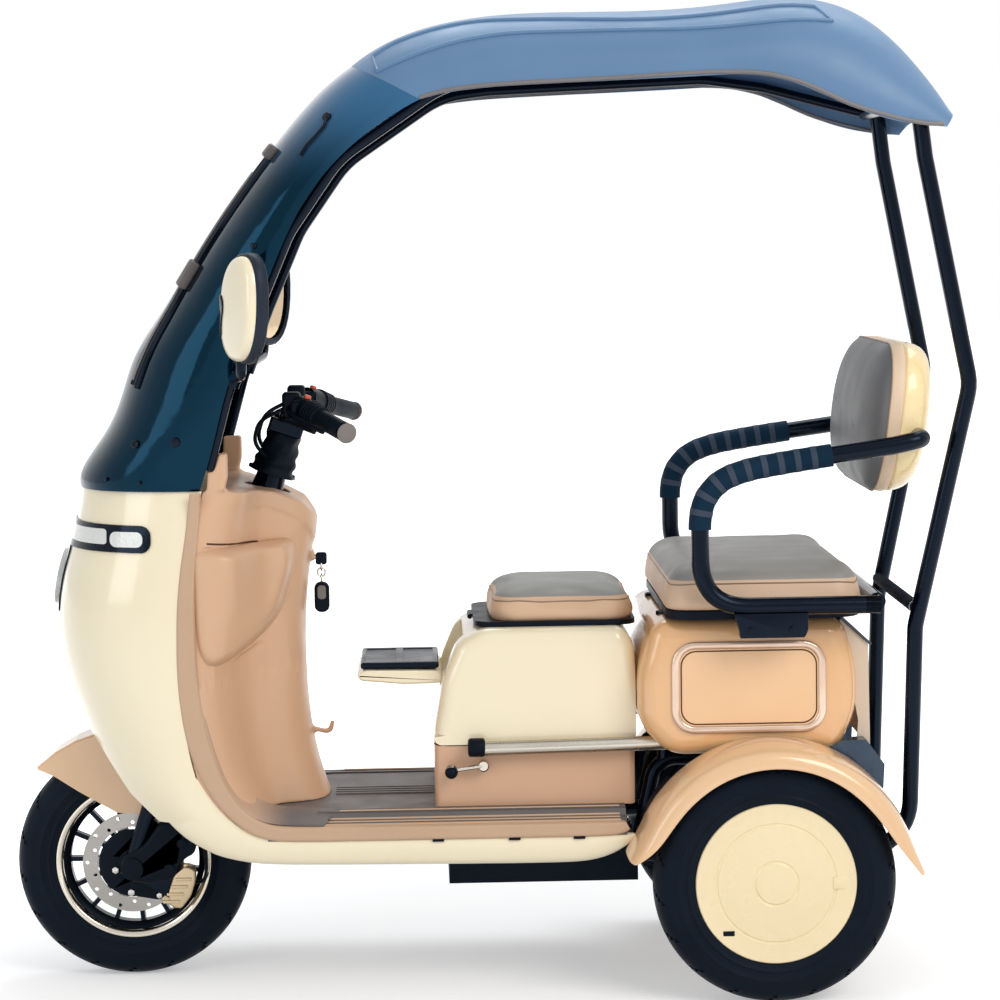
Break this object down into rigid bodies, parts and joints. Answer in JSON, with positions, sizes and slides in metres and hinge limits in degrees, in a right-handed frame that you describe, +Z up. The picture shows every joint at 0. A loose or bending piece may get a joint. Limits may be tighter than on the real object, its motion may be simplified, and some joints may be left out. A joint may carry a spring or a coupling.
{
  "type": "electric passenger trike",
  "caption": "Three-wheeled electric passenger vehicle with a curved canopy and windscreen, step-through floor, saddle, fold-up child seat and rear bench with armrests.",
  "frame": {"origin": "on the ground, below the middle of the overall length and width", "axes": "+X forward, +Y to the vehicle's left, +Z up"},
  "size_m": [1.6905, 0.924, 1.7234],
  "materials": {
    "amber_paint": "gloss amber-yellow paint",
    "axle_paint": "black",
    "beige_plastic": "satin beige",
    "black_paint": "gloss black paint",
    "black_plastic": "satin black",
    "caliper": "cast, champagne anodised",
    "canopy": "steel-blue gloss sheet",
    "cast_black": "satin black cast alloy",
    "child_vinyl": "black vinyl",
    "cover_cream": "satin cream",
    "cream_paint": "gloss cream paint",
    "disc_steel": "ground steel",
    "floor_plastic": "brown-grey moulding",
    "grey_plastic": "satin dark grey",
    "grey_vinyl": "grey vinyl",
    "lens": "clear lens",
    "mirror": "mirror",
    "peach_plastic": "satin peach paint",
    "plate": "brushed frame round a beige panel",
    "rubber": "rubber",
    "smoked_glass": "smoked clear sheet",
    "steel": "brushed steel",
    "tail_lens": "smoked lens",
    "tan_plastic": "satin tan moulding",
    "tyre": "tyre",
    "vinyl": "grey-brown vinyl"
  },
  "bodies": {
    "chassis": {"arm_grips": "rubber", "arm_tubes": "black_paint", "backrest_cushion": "grey_vinyl", "backrest_shell": "cream_paint", "battery_box": "black_plastic", "bench_cushion": "vinyl", "bench_pan": "black_plastic", "canopy_frame": "black_paint", "canopy_roof": "canopy", "floor_board": "floor_plastic", "front_fairing": "cream_paint", "front_lenses": "lens", "guard_bars": "steel", "inner_fenders": "black_plastic", "inner_shield": "tan_plastic", "key_fob": "black_plastic", "lamp_surround": "black_plastic", "main_frame": "black_paint", "mirror_covers": "cream_paint", "mirror_glasses": "mirror", "mirror_stems": "black_paint", "parking_lever": "steel", "rear_axle": "axle_paint", "rear_fenders": "peach_plastic", "rear_housing": "amber_paint", "rear_trunk": "beige_plastic", "screen_wiper": "black_plastic", "seat_box_lower": "tan_plastic", "seat_box_upper": "cream_paint", "shock_absorbers": "axle_paint", "side_plates": "plate", "side_sills": "cream_paint", "tail_cap": "grey_plastic", "tail_lamps": "tail_lens", "windscreen": "smoked_glass"},
    "steering": {"fork": "cast_black", "handlebar": "black_paint", "grips": "rubber", "bar_controls": "black_plastic", "front_mudguard": "peach_plastic", "brake_caliper": "caliper", "brake_hose": "rubber"},
    "front_wheel": {"front_tyre": "tyre", "front_rim": "cast_black", "brake_disc": "disc_steel"},
    "rear_left_wheel": {"rear_left_tyre": "tyre", "rear_left_rim": "cover_cream"},
    "rear_right_wheel": {"rear_right_tyre": "tyre", "rear_right_rim": "cover_cream"},
    "saddle": {"saddle_pan": "black_plastic", "saddle_cushion": "vinyl"},
    "child_seat": {"child_seat_deck": "cream_paint", "child_seat_pad": "child_vinyl"}
  },
  "joints": [
    {"name": "steering", "type": "hinge", "parent": "chassis", "child": "steering", "pos_m": [0.60945, 0, 0.20012], "axis": [-0.3173, 0, 0.9483], "range_deg": [-28, 28]},
    {"name": "front_wheel_spin", "type": "hinge", "parent": "steering", "child": "front_wheel", "pos_m": [0.636, 0, 0.209], "axis": [0, 1, 0], "continuous": true},
    {"name": "rear_left_wheel_spin", "type": "hinge", "parent": "chassis", "child": "rear_left_wheel", "pos_m": [-0.484, 0.297, 0.209], "axis": [0, 1, 0], "continuous": true},
    {"name": "rear_right_wheel_spin", "type": "hinge", "parent": "chassis", "child": "rear_right_wheel", "pos_m": [-0.484, -0.297, 0.209], "axis": [0, 1, 0], "continuous": true},
    {"name": "saddle_lift", "type": "hinge", "parent": "chassis", "child": "saddle", "pos_m": [0.027, 0, 0.6391], "axis": [0, 1, 0], "range_deg": [0, 60]},
    {"name": "child_seat_fold", "type": "hinge", "parent": "chassis", "child": "child_seat", "pos_m": [0.082, 0, 0.536], "axis": [0, -1, 0], "range_deg": [0, 88]}
  ]
}
